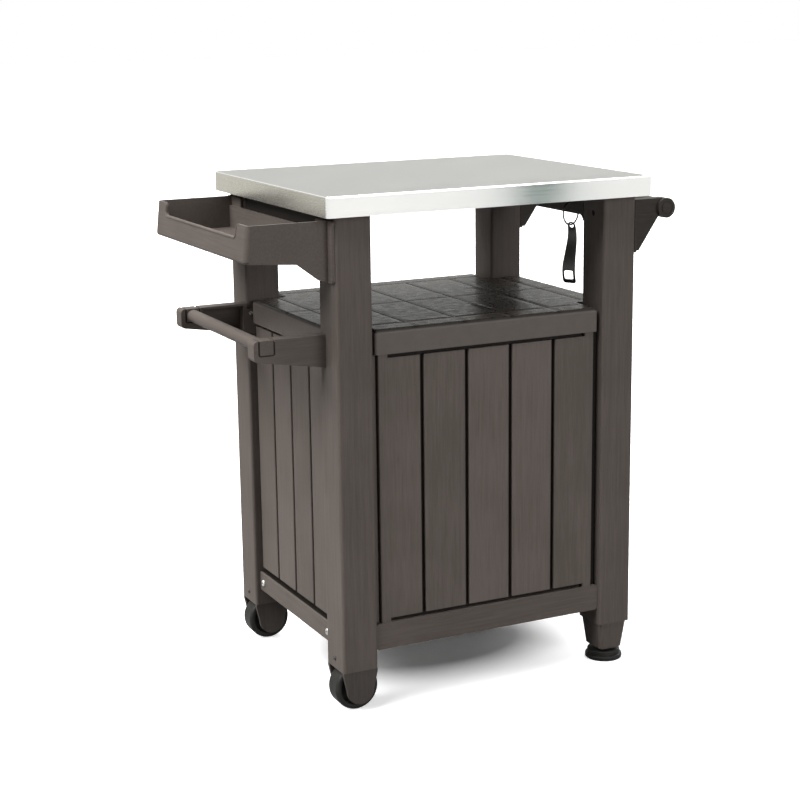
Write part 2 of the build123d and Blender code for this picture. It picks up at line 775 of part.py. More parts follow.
# Handle brackets: a flange on the post, a gusset web and a round boss with a blind socket
boss_low = handle_boss * sin(radians(handle_web_turn))
for name, sy in (("front_handle_bracket", -1), ("back_handle_bracket", 1)):
    with BuildPart() as handle_bracket:
        with BuildSketch(front.offset(-sy * post_y)):
            with BuildLine():
                Polyline(
                    (post_out_x, handle_height + handle_boss),
                    (handle_x, handle_height + handle_boss),
                    (handle_x, handle_height),
                    (handle_x - boss_low, handle_height - boss_low),
                    (post_out_x + handle_web_foot, handle_foot),
                    (post_out_x, handle_foot),
                    close=True,
                )
            make_face()
        extrude(amount=handle_web / 2, both=True)
        with BuildSketch(front.offset(-sy * post_y)):
            with Locations((handle_x, handle_height)):
                Circle(handle_boss)
        extrude(amount=handle_boss_depth / 2, both=True)
        with BuildSketch(side.offset(post_out_x)):
            with Locations((sy * post_y, (handle_foot + handle_height + handle_boss) / 2)):
                RectangleRounded(flange_width, handle_height + handle_boss - handle_foot, tray_bottom_edge)
        extrude(amount=flange)
        with BuildSketch(front.offset(-sy * (post_y - handle_boss_depth / 2))):
            with Locations((handle_x, handle_height)):
                Circle(handle_radius + fit)
        extrude(amount=-sy * handle_socket, mode=Mode.SUBTRACT)
        with BuildSketch(front.offset(-sy * (post_y + handle_boss_depth / 2))):
            with Locations((handle_x, handle_height)):
                Circle(boss_ring_radius)
                Circle(boss_ring_radius - boss_ring_width, mode=Mode.SUBTRACT)
        extrude(amount=sy * boss_ring_depth, mode=Mode.SUBTRACT)
        with BuildSketch(side.offset(post_out_x)):
            with Locations((sy * post_y, screw_height)):
                Circle(screw_radius + screw_play)
        extrude(amount=screw_bite, mode=Mode.SUBTRACT)
    handle_bracket.part.label = name
    export_step(handle_bracket.part, f"parts/{name}.step")

# Handle bar: a tube between the brackets' sockets
handle_half = post_y - handle_boss_depth / 2 + handle_socket - fit
with BuildPart() as handle_bar:
    with BuildSketch(front.offset(handle_half)):
        with Locations((handle_x, handle_height)):
            Circle(handle_radius)
            Circle(handle_radius - handle_wall, mode=Mode.SUBTRACT)
    extrude(amount=-2 * handle_half)
handle_bar.part.label = "handle_bar"
export_step(handle_bar.part, "parts/handle_bar.step")

# Screws inside the posts that hold the tray and the handle brackets
with BuildPart() as bracket_screws:
    for sx in (-1, 1):
        with BuildSketch(side.offset(sx * (post_out_x - wall))):
            with Locations((-post_y, screw_height), (post_y, screw_height)):
                Circle(screw_head_radius)
        extrude(amount=-sx * screw_head)
        with BuildSketch(side.offset(sx * (post_out_x - wall))):
            with Locations((-post_y, screw_height), (post_y, screw_height)):
                Circle(screw_radius)
        extrude(amount=sx * (wall + screw_bite - fit))
bracket_screws.part.label = "bracket_screws"
export_step(bracket_screws.part, "parts/bracket_screws.step")

# Wheel forks: a plug in the post's end and two cheeks that taper to a round tongue
plug_width = post_width - 2 * (wall + fit)
plug_depth = post_depth - 2 * (wall + fit)
cheek_out = post_depth / 2 - fork_inset
cheek_in = cheek_out - cheek
cheek_half = post_width / 2 - fork_inset
well_top = 2 * wheel_radius + wheel_play
for name, sy in (("front_wheel_fork", -1), ("back_wheel_fork", 1)):
    with BuildPart() as wheel_fork:
        with BuildSketch(plan.offset(post_end)):
            with Locations((-post_x, sy * post_y)):
                RectangleRounded(plug_width, plug_depth, plank_edge)
        extrude(amount=plug_height)
        with BuildSketch(plan.offset(well_top + bridge)):
            with Locations((-post_x, sy * post_y)):
                Rectangle(plug_width - 2 * plug_wall, plug_depth - 2 * plug_wall)
        extrude(amount=post_end + plug_height - well_top - bridge, mode=Mode.SUBTRACT)
        with BuildSketch(side.offset(-post_x)):
            with Locations((sy * post_y, plug_screw_height)):
                Circle(plug_screw_radius + screw_play)
        extrude(amount=-post_width / 2, mode=Mode.SUBTRACT)
        with BuildSketch(front.offset(-sy * post_y)):
            with BuildLine():
                tongue = CenterArc((-post_x, wheel_radius), cheek_tip_radius, 180, 180)
                Polyline(
                    tongue @ 1,
                    (cheek_half - post_x, post_end - bridge),
                    (cheek_half - post_x, post_end),
                    (-cheek_half - post_x, post_end),
                    (-cheek_half - post_x, post_end - bridge),
                    tongue @ 0,
                )
            make_face()
        extrude(amount=cheek_out, both=True)
        with BuildSketch(side.offset(-post_x)):
            with Locations((sy * post_y, well_top / 2)):
                Rectangle(2 * cheek_in, well_top)
        extrude(amount=post_width, both=True, mode=Mode.SUBTRACT)
        with BuildSketch(front.offset(-sy * post_y)):
            with Locations((-post_x, wheel_radius)):
                Circle(axle_radius + screw_play)
        extrude(amount=cheek_in + axle_seat, both=True, mode=Mode.SUBTRACT)
    wheel_fork.part.label = name
    export_step(wheel_fork.part, f"parts/{name}.step")

# Screws through the posts' outer walls into the plugs of the forks and leg ends
with BuildPart() as plug_screws:
    for sx in (-1, 1):
        with BuildSketch(side.offset(sx * post_out_x)):
            with Locations((-post_y, plug_screw_height), (post_y, plug_screw_height)):
                Circle(plug_screw_head_radius)
        extrude(amount=sx * plug_screw_head)
        with BuildSketch(side.offset(sx * post_out_x)):
            with Locations((-post_y, plug_screw_height), (post_y, plug_screw_height)):
                Circle(plug_screw_radius)
        extrude(amount=-sx * (wall + fit + plug_wall))
plug_screws.part.label = "plug_screws"
export_step(plug_screws.part, "parts/plug_screws.step")

# Wheels: a rim with round shoulders, a web and a long hub; and their axles
hub_half = cheek_in - hub_play
for name, sy in (("front", -1), ("back", 1)):
    wheel_plane = Plane((body_x - post_x, sy * post_y, wheel_radius), x_dir=(0, 0, 1), z_dir=(1, 0, 0))
    wheel_axis = Axis((body_x - post_x, sy * post_y, wheel_radius), (0, 1, 0))
    with BuildPart() as wheel:
        with BuildSketch(wheel_plane) as wheel_profile:
            with Locations(((axle_radius + axle_running + hub_radius) / 2, 0)):
                Rectangle(hub_radius - axle_radius - axle_running, 2 * hub_half)
            with Locations(((hub_radius + wheel_radius) / 2, 0)):
                Rectangle(wheel_radius - hub_radius, wheel_web)
            with Locations((wheel_radius - wheel_rim / 2, 0)):
                Rectangle(wheel_rim, wheel_width)
            fillet(wheel_profile.vertices().group_by(Axis.X)[-1], wheel_shoulder)
        revolve(axis=wheel_axis)
    wheel.part.label = f"{name}_wheel"
    export_step(wheel.part, f"parts/{name}_wheel.step")
    with BuildPart() as axle:
        with BuildSketch(front.offset(-sy * post_y)):
            with Locations((-post_x, wheel_radius)):
                Circle(axle_radius)
        extrude(amount=cheek_in + axle_seat - fit, both=True)
    axle.part.label = f"{name}_axle"
    export_step(axle.part, f"parts/{name}_axle.step")

# Leg ends: a hollow plug in the post above a tapered foot with a stud hole; and the screw feet
for name, sy in (("front", -1), ("back", 1)):
    with BuildPart() as leg_end:
        with BuildSketch(plan.offset(post_end)) as leg_head:
            with Locations((post_x, sy * post_y)):
                Rectangle(post_width - 2 * leg_end_step, post_depth - 2 * leg_end_step)
            chamfer(leg_head.vertices(), leg_end_corner)
        with BuildSketch(plan.offset(leg_end_low)) as leg_toe:
            with Locations((post_x, sy * post_y)):
                Rectangle(leg_end_width, leg_end_depth)
            chamfer(leg_toe.vertices(), leg_end_corner)
        loft(ruled=True)
        chamfer(leg_end.faces().sort_by(Axis.Z)[0].edges(), leg_end_chamfer)
        with BuildSketch(plan.offset(post_end)):
            with Locations((post_x, sy * post_y)):
                RectangleRounded(plug_width, plug_depth, plank_edge)
                Rectangle(plug_width - 2 * plug_wall, plug_depth - 2 * plug_wall, mode=Mode.SUBTRACT)
        extrude(amount=plug_height)
        with BuildSketch(side.offset(post_x)):
            with Locations((sy * post_y, plug_screw_height)):
                Circle(plug_screw_radius + screw_play)
        extrude(amount=post_width / 2, mode=Mode.SUBTRACT)
        with BuildSketch(plan.offset(leg_end_low)):
            with Locations((post_x, sy * post_y)):
                Circle(stud_radius + stud_running)
        extrude(amount=stud_length + fit, mode=Mode.SUBTRACT)
    leg_end.part.label = f"{name}_leg_end"
    export_step(leg_end.part, f"parts/{name}_leg_end.step")
    foot_plane = Plane((body_x + post_x, sy * post_y, 0), x_dir=(1, 0, 0), z_dir=(0, -1, 0))
    foot_axis = Axis((body_x + post_x, sy * post_y, 0), (0, 0, 1))
    with BuildPart() as foot:
        with BuildSketch(foot_plane) as foot_profile:
            with Locations((foot_radius / 2, foot_height / 2)):
                Rectangle(foot_radius, foot_height)
            fillet(foot_profile.vertices().group_by(Axis.X)[-1], foot_edge)
        revolve(axis=foot_axis)
        with BuildSketch(foot_plane):
            with Locations((0, foot_height)):
                Rectangle(foot_tier_radius, foot_tier, align=(Align.MIN, Align.MIN))
        revolve(axis=foot_axis)
        fillet(foot.edges().filter_by(GeomType.CIRCLE).group_by(Axis.Z)[-1], foot_edge)
        with BuildSketch(foot_plane):
            with Locations((0, foot_height + foot_tier)):
                Rectangle(
                    foot_neck_radius,
                    leg_end_low - fit - foot_height - foot_tier,
                    align=(Align.MIN, Align.MIN),
                )
            with Locations((0, leg_end_low - fit)):
                Rectangle(stud_radius, stud_length, align=(Align.MIN, Align.MIN))
        revolve(axis=foot_axis)
    foot.part.label = f"{name}_foot"
    export_step(foot.part, f"parts/{name}_foot.step")

# Wire ring through the right beam's hole
ring_along = (cos(radians(ring_turn)), sin(radians(ring_turn)), 0)
ring_across = (-sin(radians(ring_turn)), cos(radians(ring_turn)), 0)
ring_top = ring_height - ring_hole + ring_wire + fit
ring_centre = (body_x + apron_inner + wall / 2, ring_y, ring_top - ring_radius)
with BuildPart() as opener_ring:
    with BuildSketch(Plane(ring_centre, x_dir=(0, 0, 1), z_dir=ring_along)):
        with Locations((ring_radius, 0)):
            Circle(ring_wire)
    revolve(axis=Axis(ring_centre, ring_across))
opener_ring.part.label = "opener_ring"
export_step(opener_ring.part, "parts/opener_ring.step")

# Bottle opener: a strap bent to a shallow S with a hole for the ring and an open mouth
hole_z = ring_top - 2 * ring_radius - opener_hole_radius + ring_wire + ring_hang
opener_top = hole_z + opener_hole_inset
opener_mid = opener_top - opener_length / 2
opener_centre = (ring_centre[0], ring_y, opener_mid)
strap_along = (cos(radians(opener_turn)), sin(radians(opener_turn)), 0)
strap_across = (-sin(radians(opener_turn)), cos(radians(opener_turn)), 0)
strap_face = Plane(opener_centre, x_dir=strap_across, z_dir=strap_along)
strap_side = Plane(opener_centre, x_dir=strap_along, z_dir=(-strap_across[0], -strap_across[1], 0))
half_strap = opener_length / 2
half_thick = opener_thickness / 2
with BuildPart() as bottle_opener:
    with BuildSketch(strap_side):
        with BuildLine():
            inner = Spline(
                (-half_thick, half_strap),
                (opener_bow - half_thick, opener_bend * half_strap),
                (-opener_bow - half_thick, -opener_bend * half_strap),
                (-half_thick, -half_strap),
            )
            outer = Spline(
                (half_thick, half_strap),
                (opener_bow + half_thick, opener_bend * half_strap),
                (half_thick - opener_bow, -opener_bend * half_strap),
                (half_thick, -half_strap),
            )
            Line(inner @ 0, outer @ 0)
            Line(inner @ 1, outer @ 1)
        make_face()
    extrude(amount=opener_width / 2, both=True)
    with BuildSketch(strap_face):
        with Locations((0, half_strap - opener_neck)):
            Circle(opener_neck)
        with Locations((0, opener_loop / 2 - half_strap)):
            RectangleRounded(opener_width, opener_loop, opener_corner)
        make_hull()
        with Locations((0, hole_z - opener_mid)):
            Circle(opener_hole_radius, mode=Mode.SUBTRACT)
        with Locations((0, mouth_inset + mouth_height / 2 - half_strap)):
            RectangleRounded(mouth_width, mouth_height, mouth_corner, mode=Mode.SUBTRACT)
    extrude(amount=opener_length, both=True, mode=Mode.INTERSECT)
bottle_opener.part.label = "bottle_opener"
export_step(bottle_opener.part, "parts/bottle_opener.step")
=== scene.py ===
import bpy
import bmesh
import numpy as np
from mathutils import Matrix, Vector


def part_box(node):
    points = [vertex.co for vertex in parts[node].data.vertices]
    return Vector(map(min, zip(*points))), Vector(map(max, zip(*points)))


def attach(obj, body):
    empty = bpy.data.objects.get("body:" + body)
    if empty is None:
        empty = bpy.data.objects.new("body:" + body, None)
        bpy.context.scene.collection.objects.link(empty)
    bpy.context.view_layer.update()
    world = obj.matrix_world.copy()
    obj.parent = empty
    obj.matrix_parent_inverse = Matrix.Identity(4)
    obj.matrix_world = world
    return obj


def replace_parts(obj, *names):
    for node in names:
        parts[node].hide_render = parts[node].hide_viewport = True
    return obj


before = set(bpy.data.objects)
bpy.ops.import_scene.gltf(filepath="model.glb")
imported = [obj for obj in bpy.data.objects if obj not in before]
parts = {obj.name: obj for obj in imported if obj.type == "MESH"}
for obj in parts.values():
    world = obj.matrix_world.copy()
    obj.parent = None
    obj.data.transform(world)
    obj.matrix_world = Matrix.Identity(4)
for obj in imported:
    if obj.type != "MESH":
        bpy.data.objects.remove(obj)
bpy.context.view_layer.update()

# Posts: four rectangular tubes that carry the worktop, the counter and the cabinet. They are moulded of
# brown-grey polypropylene, coloured all through. The mould presses a shallow wood grain along them and
# leaves a fine grit that breaks up the shine.
RESIN = "645c57"
RESIN_DARK = "57504b"
# Nearly black: the dark of the counter's joints, and painted shade in grooves, behind rail edges, round the
# towel bar's ends and on the counter's rolled edge.
SHADE_AND_GRIME = "1d1a17"
RESIN_IOR = 1.49
RESIN_SHINE = 0.12
RESIN_ROUGHNESS = (0.50, 0.64)
# Grain and fibre are streaks of a width and a length, and the grain is pressed in this deep.
GRAIN = (0.0045, 0.110)
FIBRE = (0.0012, 0.035)
PRESSED = 0.0008
CLOUD_SIZE = 0.140
# The real grit is about a quarter as coarse. It is drawn this large so that it shows.
GRIT_SIZE = 0.0011
GRIT_HEIGHT = 0.0002
# How strongly grain, fibre and grit show in the light, and the range of the patterns that makes the tones.
GRAIN_BUMP = 0.35
FIBRE_BUMP = 0.25
GRIT_BUMP = 0.2
MID_NOISE = (0.3, 0.7)
MOTTLE = (1.15, 1.85)
# Planks differ in tone by this much, and the first plank's outer side gets no painted shade.
PLANK_TONE = 0.22
FIRST_PLANK = 0.02
WELD_GAP = 1e-5
SHARP_EDGE = np.radians(40)


def linear(code):
    """sRGB hex code to linear red, green and blue, with an alpha of one."""
    values = np.array([int(code[k:k + 2], 16) for k in (0, 2, 4)]) / 255
    curved = np.where(values <= 0.04045, values / 12.92, ((values + 0.055) / 1.055) ** 2.4)
    return (*curved, 1.0)


def add(tree, kind, links=(), numbers=(), **settings):
    """Adds a node of a kind, sets its sockets by number or name and its properties by name, and links its
    inputs. Gives its outputs."""
    made = tree.nodes.new("ShaderNode" + kind)
    for place, value in numbers:
        made.inputs[place].default_value = value
    for name, value in settings.items():
        socket = made.inputs.get(name.replace("_", " ")) if name[0].isupper() else None
        if socket is not None:
            socket.default_value = value
        else:
            setattr(made, name, value)
    for name, source in links:
        tree.links.new(source, made.inputs[name])
    return made.outputs


def bare_tree(owner):
    """A material's or surround's shader tree, with nothing in it."""
    owner.use_nodes = True
    owner.node_tree.nodes.clear()
    return owner.node_tree


def new_finish(name, **sockets):
    """A material with one Principled shader, its sockets set by name. Gives material, tree, shader and the
    coordinates that patterns read."""
    made = bpy.data.materials.new(name)
    tree = bare_tree(made)
    surface = add(tree, "BsdfPrincipled", **sockets)[0]
    add(tree, "OutputMaterial", [("Surface", surface)])
    return made, tree, surface.node, add(tree, "TexCoord")


def streaks(tree, place, size, axes):
    """Noise drawn out along the named axes: size gives its width across them and its length that way."""
    scales = [1 / size[1 if axis in axes else 0] for axis in "XYZ"]
    drawn_out = add(tree, "Mapping", [("Vector", place)], Scale=scales)[0]
    return add(tree, "TexNoise", [("Vector", drawn_out)], Scale=1.0, Detail=3.0, Roughness=0.6)[0]


def moulded_resin(name, grain_axis, boards=None, sunk=None, tones=(RESIN_DARK, RESIN)):
    """Matte resin: pressed grain and fibres along one axis, clouds in its tone and grit in its shine. Boards,
    an axis, a start and a pitch, give each plank across that axis a grain and a tone of its own. Sunk, an
    axis, a face, a floor and an end, paints shade that darkens the resin from the face to the floor and on
    to the end."""
    # Light spreads softly over it, its grain shows as faint darker streaks, and its edges hardly glint.
    finish, tree, shader, where = new_finish(name, IOR=RESIN_IOR, Specular_IOR_Level=RESIN_SHINE)
    place = where["Object"]
    along = add(tree, "SeparateXYZ", [("Vector", place)])
    if boards:
        axis, start, pitch = boards
        count = add(tree, "MapRange", [("Value", along[axis])], From_Min=start, From_Max=start + pitch,
                    clamp=False)[0]
        number = add(tree, "Math", [(0, count)], operation="FLOOR")[0]
        own = add(tree, "TexWhiteNoise", [("W", number)], noise_dimensions="1D")["Value"]
        own_tone = add(tree, "MapRange", [("Value", own)], To_Min=-PLANK_TONE, To_Max=PLANK_TONE)[0]
        moved = add(tree, "CombineXYZ", [("X", own), ("Y", own), ("Z", own)])[0]
        place = add(tree, "VectorMath", [(0, place), (1, moved)], operation="ADD")[0]
    grain = streaks(tree, place, GRAIN, grain_axis)
    fibre = streaks(tree, place, FIBRE, grain_axis)
    cloud = add(tree, "TexNoise", [("Vector", place)], Scale=1 / CLOUD_SIZE, Detail=2.0)[0]
    grit = add(tree, "TexNoise", [("Vector", place)], Scale=1 / GRIT_SIZE, Detail=1.0)[0]
    mottle = add(tree, "Math", [(0, grain), (1, cloud)], operation="ADD")[0]
    mottle = add(tree, "Math", [(0, mottle), (1, fibre)], operation="ADD")[0]
    if boards:
        mottle = add(tree, "Math", [(0, mottle), (1, own_tone)], operation="ADD")[0]
    share = add(tree, "MapRange", [("Value", mottle)], From_Min=MOTTLE[0], From_Max=MOTTLE[1])[0]
    tone = add(tree, "MixRGB", [("Fac", share)], Color1=linear(tones[0]), Color2=linear(tones[1]))[0]
    if sunk:
        axis, face, floor, end = sunk
        # Painted shade: the resin darkens from the face down into the groove, towards its floor and end.
        groove_shade = add(tree, "MapRange", [("Value", along[axis])], From_Min=face, From_Max=floor)[0]
        before_end = add(tree, "MapRange", [("Value", along[axis])], From_Min=end + (floor - face) / 4,
                         From_Max=end)[0]
        groove_shade = add(tree, "Math", [(0, groove_shade), (1, before_end)], operation="MULTIPLY")[0]
        if boards:
            inside = add(tree, "Math", [(0, count)], [(1, FIRST_PLANK)], operation="GREATER_THAN")[0]
            groove_shade = add(tree, "Math", [(0, groove_shade), (1, inside)], operation="MULTIPLY")[0]
        tone = add(tree, "MixRGB", [("Fac", groove_shade), ("Color1", tone)], Color2=linear(SHADE_AND_GRIME))[0]
    tree.links.new(tone, shader.inputs["Base Color"])
    matt = add(tree, "MapRange", [("Value", fibre)], From_Min=MID_NOISE[0], From_Max=MID_NOISE[1],
               To_Min=RESIN_ROUGHNESS[0], To_Max=RESIN_ROUGHNESS[1])[0]
    tree.links.new(matt, shader.inputs["Roughness"])
    pressed = add(tree, "Bump", [("Height", grain)], Strength=GRAIN_BUMP, Distance=PRESSED)[0]
    fibrous = add(tree, "Bump", [("Height", fibre), ("Normal", pressed)], Strength=FIBRE_BUMP,
                  Distance=PRESSED / 3)[0]
    gritty = add(tree, "Bump", [("Height", grit), ("Normal", fibrous)], Strength=GRIT_BUMP,
                 Distance=GRIT_HEIGHT)[0]
    tree.links.new(gritty, shader.inputs["Normal"])
    return finish


def dress(finish, *names, edge=0.0):
    """Gives pieces one finish, and rounds their sharp edges by a radius where one is given."""
    for name in names:
        slots = parts[name].data.materials
        slots.clear()
        slots.append(finish)
        if edge:
            joined = parts[name].modifiers.new("joined", "WELD")
            joined.merge_threshold = WELD_GAP
            rounded = parts[name].modifiers.new("rounded", "BEVEL")
            rounded.width = edge
            rounded.segments = 2
            rounded.limit_method = "ANGLE"
            rounded.angle_limit = SHARP_EDGE
            parts[name].modifiers.new("even", "WEIGHTED_NORMAL")


upright_resin = moulded_resin("polypropylene_grain_upright", "Z")
dress(upright_resin, "front_left_post", "front_right_post", "back_left_post", "back_right_post")

# Wheel forks: one moulding of darker resin at the foot of each left post, a plug inside the post and two
# cheeks that hold the axle. Leg ends: tapered plugs in the right posts. A dark phosphated screw through each
# post's outer wall holds its plug; its head has a cross recess for the driver.
FORK_TONES = ("46413d", "514b47")
THICK_EDGE = 0.001
DARK_STEEL_TONES = ("3a3937", "5c5b58")
DARK_STEEL_ROUGHNESS = (0.34, 0.5)
BLOTCH_SIZE = 0.004
# The head's height, its recess's reach and points, and its shank's radius and length.
PLUG_HEAD = 0.0022
PLUG_CROSS = (0.0022, 4)
PLUG_SHANK = (0.002, 0.0078)
# Every head's form: where its dome starts, in radians, and ends, as a share of its height; its rim round the
# recess; the recess's floor and mouth, as shares of the height; and how deep the points of its star are.
DOME_START = 0.12
DOME_SEAT = 0.25
RECESS_RIM = 1.15
RECESS = (0.35, 0.94)
STAR = 0.28
MERGE_GAP = 1e-6
CREASE = np.radians(42)
fork_resin = moulded_resin("polypropylene_dark_upright", "Z", tones=FORK_TONES)
dress(fork_resin, "front_wheel_fork", "back_wheel_fork", edge=THICK_EDGE)
dress(upright_resin, "front_leg_end", "back_leg_end", edge=THICK_EDGE)


def two_toned(tree, shader, pattern, tones, roughness):
    """Lets a pattern lead a shader from one tone and roughness, where it is nought, to the other, where it
    is one."""
    tone = add(tree, "MixRGB", [("Fac", pattern)], Color1=linear(tones[0]), Color2=linear(tones[1]))[0]
    tree.links.new(tone, shader.inputs["Base Color"])
    matt = add(tree, "MapRange", [("Value", pattern)], To_Min=roughness[0], To_Max=roughness[1])[0]
    tree.links.new(matt, shader.inputs["Roughness"])


# Phosphate leaves steel dark grey, with a dull shine that changes in small blotches.
dark_steel, tree, shader, where = new_finish("steel_phosphated_dark", Metallic=1.0)
blotch = add(tree, "TexNoise", [("Vector", where["Object"])], Scale=1 / BLOTCH_SIZE, Detail=3.0)[0]
two_toned(tree, shader, blotch, DARK_STEEL_TONES, DARK_STEEL_ROUGHNESS)


def placed(name, data):
    """A new object that shows some data, at the origin of the scene."""
    made = bpy.data.objects.new(name, data)
    bpy.context.scene.collection.objects.link(made)
    return made


def skin(name, points, finish, body, loops=(False, True)):
    """A mesh through patches of points, an array of patch, row, column and place. Rows or columns that loop
    are closed on themselves, points that meet are merged, and the faces are turned outwards."""
    patches, rows, columns = points.shape[:3]
    index = np.arange(patches * rows * columns).reshape(patches, rows, columns)
    ring = np.concatenate([index, index[:, :, :1]], axis=2) if loops[1] else index
    ring = np.concatenate([ring, ring[:, :1]], axis=1) if loops[0] else ring
    quads = np.stack([ring[:, :-1, :-1], ring[:, :-1, 1:], ring[:, 1:, 1:], ring[:, 1:, :-1]], axis=-1)
    mesh = bpy.data.meshes.new(name)
    mesh.from_pydata(points.reshape(-1, 3).tolist(), [], quads.reshape(-1, 4).tolist())
    work = bmesh.new()
    work.from_mesh(mesh)
    bmesh.ops.remove_doubles(work, verts=work.verts, dist=MERGE_GAP)
    bmesh.ops.recalc_face_normals(work, faces=work.faces)
    work.to_mesh(mesh)
    work.free()
    mesh.shade_smooth()
    mesh.set_sharp_from_angle(angle=CREASE)
    mesh.materials.append(finish)
    piece = placed(name, mesh)
    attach(piece, body)
    return piece


def driven_heads(seats, outward, radius, height, recess, shank):
    """Domed heads on shanks, as turned profiles: from the middle of a recess out over its rim, down a quarter
    ellipse to the seat, in to the shank and along it. The recess's radius is a star of so many points."""
    reach_in, points = recess
    thick, length = shank
    around = np.linspace(0, 2 * np.pi, 48, endpoint=False)
    dome = np.linspace(DOME_START, np.pi / 2, 7)
    rim = RECESS_RIM * reach_in
    over = rim + (radius - rim) * np.sin(dome)
    reach = np.concatenate([[0, reach_in, reach_in], over, [radius, thick, thick, 0]])
    crown = DOME_SEAT + (1 - DOME_SEAT) * np.cos(dome)
    rise = np.concatenate([[RECESS[0], RECESS[0], RECESS[1]], crown, [0, 0]]) * height
    rise = np.concatenate([rise, [-length, -length]])
    star = np.ones((len(reach), len(around)))
    star[1:3] = 1 - STAR + STAR * np.cos(points * around)
    reach = reach[:, None] * star
    first = np.roll(np.abs(outward), 1, axis=1)
    second = np.cross(outward, first)
    spokes = np.cos(around)[:, None] * first[:, None] + np.sin(around)[:, None] * second[:, None]
    lifted = seats[:, None, None] + rise[None, :, None, None] * outward[:, None, None]
    return lifted + reach[None, :, :, None] * spokes[:, None]


def end_heads(name, node, finish, height, recess, shank):
    """Heads for a node of four fasteners in the cart's two ends, two in each, seated where the node's box
    says."""
    low, high = (np.array(corner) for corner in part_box(node))
    radius = (high[2] - low[2]) / 2
    seats = np.array([[x, y, low[2] + radius] for x in (low[0] + height, high[0] - height)
                      for y in (low[1] + radius, high[1] - radius)])
    outward = np.array([[-1.0, 0, 0]] * 2 + [[1.0, 0, 0]] * 2)
    heads = driven_heads(seats, outward, radius, height, recess, shank)
    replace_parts(skin(name, heads, finish, "base"), node)


end_heads("plug_screw_heads", "plug_screws", dark_steel, PLUG_HEAD, PLUG_CROSS, PLUG_SHANK)

# Wheels and feet: hard black polypropylene, moulded with a dull surface. The wheels turn on plain zinc-plated
# axles pressed into the cheeks; the feet are round pads on a stud that screws into the leg end.
BLACK_TONES = ("1a1a19", "2c2b28")
BLACK_SHINE = 0.2
BLACK_ROUGHNESS = (0.42, 0.62)
DUST_SIZE = 0.018
DUST = (0.35, 0.75)
FINE_GRIT = 0.0009
FINE_GRIT_BUMP = 0.3
ZINC_TONES = ("b9bab8", "d6d6d2")
ZINC_ROUGHNESS = (0.24, 0.38)
SPANGLE_SIZE = 0.0016
# The dull surface keeps a soft sheen, and dust greys it in patches.
black_plastic, tree, shader, where = new_finish("black_polypropylene_dull", IOR=RESIN_IOR,
                                                Specular_IOR_Level=BLACK_SHINE)
dust = add(tree, "TexNoise", [("Vector", where["Object"])], Scale=1 / DUST_SIZE, Detail=4.0)[0]
grit = add(tree, "TexNoise", [("Vector", where["Object"])], Scale=1 / FINE_GRIT, Detail=1.0)[0]
share = add(tree, "MapRange", [("Value", dust)], From_Min=DUST[0], From_Max=DUST[1])[0]
tone = add(tree, "MixRGB", [("Fac", share)], Color1=linear(BLACK_TONES[0]), Color2=linear(BLACK_TONES[1]))[0]
tree.links.new(tone, shader.inputs["Base Color"])
matt = add(tree, "MapRange", [("Value", dust)], To_Min=BLACK_ROUGHNESS[0], To_Max=BLACK_ROUGHNESS[1])[0]
tree.links.new(matt, shader.inputs["Roughness"])
gritty = add(tree, "Bump", [("Height", grit)], Strength=FINE_GRIT_BUMP, Distance=GRIT_HEIGHT)[0]
tree.links.new(gritty, shader.inputs["Normal"])
dress(black_plastic, "front_wheel", "back_wheel", "front_foot", "back_foot")

# Zinc plating is bright, and its crystals shine a little differently from one to the next.
zinc, tree, shader, where = new_finish("zinc_plated_steel", Metallic=1.0)
spangle = add(tree, "TexVoronoi", [("Vector", where["Object"])], Scale=1 / SPANGLE_SIZE)
plating = add(tree, "SeparateColor", [("Color", spangle["Color"])])[0]
two_toned(tree, shader, plating, ZINC_TONES, ZINC_ROUGHNESS)
dress(zinc, "front_axle", "back_axle")

# Rails: channel mouldings between the feet of the posts, their grain along them. The short ones are bolted to
# corner blocks pegged into the posts, with round-headed zinc-plated bolts that have a hexagon socket. Behind
# their outer edge, where the panels stand on them, their tops are darkened with painted shade.
THIN_EDGE = 0.0008
EDGE_ROUND = 0.0022
BOLT_HEAD = 0.0035
BOLT_SOCKET = (0.0026, 6)
BOLT_SHANK = (0.003, 0.0137)
lengthwise_resin = moulded_resin("polypropylene_grain_lengthwise", "X")
crosswise_resin = moulded_resin("polypropylene_grain_crosswise", "Y")
dress(lengthwise_resin, "front_rail", "back_rail", edge=THIN_EDGE)
low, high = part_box("left_rail")
# Painted shade on the short rails' tops, behind their outer edge.
left_rail_shade = ("X", low.x + EDGE_ROUND, low.x + 2 * EDGE_ROUND, high.x)
dress(moulded_resin("polypropylene_left_rail", "Y", sunk=left_rail_shade), "left_rail", edge=THIN_EDGE)
low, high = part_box("right_rail")
right_rail_shade = ("X", high.x - EDGE_ROUND, high.x - 2 * EDGE_ROUND, low.x)
dress(moulded_resin("polypropylene_right_rail", "Y", sunk=right_rail_shade), "right_rail", edge=THIN_EDGE)
dress(crosswise_resin, "rail_lugs", edge=THIN_EDGE)
end_heads("rail_bolt_heads", "rail_bolts", zinc, BOLT_HEAD, BOLT_SOCKET, BOLT_SHANK)

# Cabinet: panels moulded as planks on a thin back, slid between the posts, and a ribbed floor on the rails.
# The planks' grain stands upright, and painted shade darkens the grooves between them.
FRONT_TONES = ("5d5650", "6d645f")
FRONT_PLANKS = 5
SIDE_PLANKS = 4
# How far the planks start from the front panel's and the side panels' ends.
PLANK_INSET = (0.0087, 0.0017)
GROOVE_DEPTH = 0.0078
GROOVE_END = 0.0084


def grooves(axis, face, inwards):
    """Where painted shade lies between planks: the axis, then the ends of the groove's rounded edge, of its
    wall and of its floor, from a face inwards."""
    return axis, *(face + inwards * depth for depth in (EDGE_ROUND, GROOVE_DEPTH, GROOVE_END))


